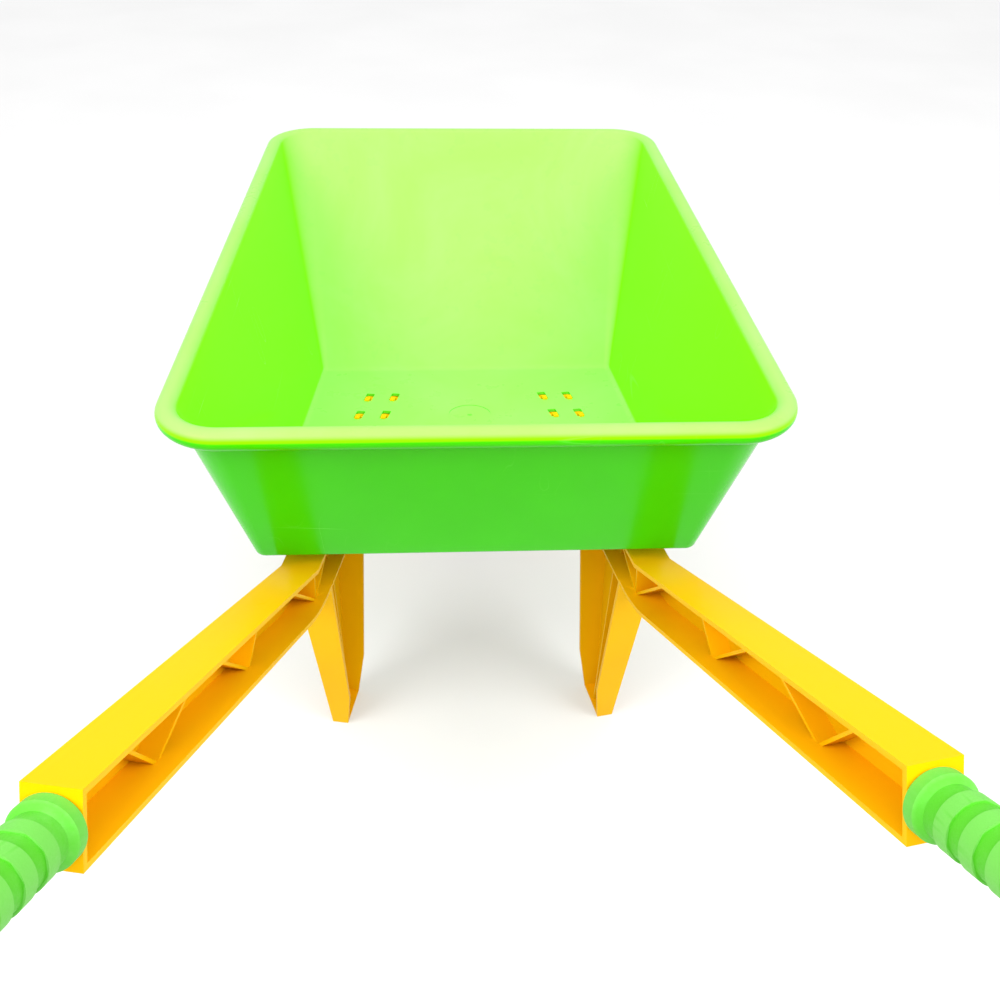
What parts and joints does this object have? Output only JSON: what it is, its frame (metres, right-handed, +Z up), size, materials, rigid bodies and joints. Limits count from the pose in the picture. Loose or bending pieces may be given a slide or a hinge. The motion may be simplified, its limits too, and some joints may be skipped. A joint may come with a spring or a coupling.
{
  "type": "toy wheelbarrow",
  "caption": "Child's plastic wheelbarrow: open rimmed tray on two toed-in side frames with handles and legs, and one free-rolling front wheel.",
  "frame": {"origin": "on the ground, under the middle of the overall box: the plane of symmetry, half way between the grips' ends and the tyre's front", "axes": "+Y forward, towards the wheel; +X to the right of someone holding the handles; +Z up"},
  "size_m": [0.414, 0.8716, 0.407],
  "materials": {
    "tray_plastic": "smooth glossy injection-moulded, bright lime green",
    "frame_plastic": "smooth semi-gloss injection-moulded, warm yellow",
    "grip_rubber": "soft matte sleeve, green",
    "wheel_plastic": "semi-gloss moulded, yellow",
    "tyre": "matte black moulded tread",
    "steel": "zinc-plated",
    "nylon": "natural nylon"
  },
  "bodies": {
    "frame": {"tray": "tray_plastic", "side_frame_left": "frame_plastic", "side_frame_right": "frame_plastic", "grip_left": "grip_rubber", "grip_right": "grip_rubber", "grip_plug_left": "frame_plastic", "grip_plug_right": "frame_plastic", "front_tie": "frame_plastic", "tie_screws": "steel", "axle": "steel", "axle_cap_left": "wheel_plastic", "axle_cap_right": "wheel_plastic", "axle_washer_left": "nylon", "axle_washer_right": "nylon"},
    "wheel": {"wheel_half_left": "wheel_plastic", "wheel_half_right": "wheel_plastic", "wheel_bush_left": "nylon", "wheel_bush_right": "nylon", "wheel_screws": "steel", "tyre": "tyre"}
  },
  "joints": [
    {"name": "wheel_spin", "type": "hinge", "parent": "frame", "child": "wheel", "pos_m": [0, 0.34083, 0.095], "axis": [1, 0, 0], "continuous": true}
  ]
}
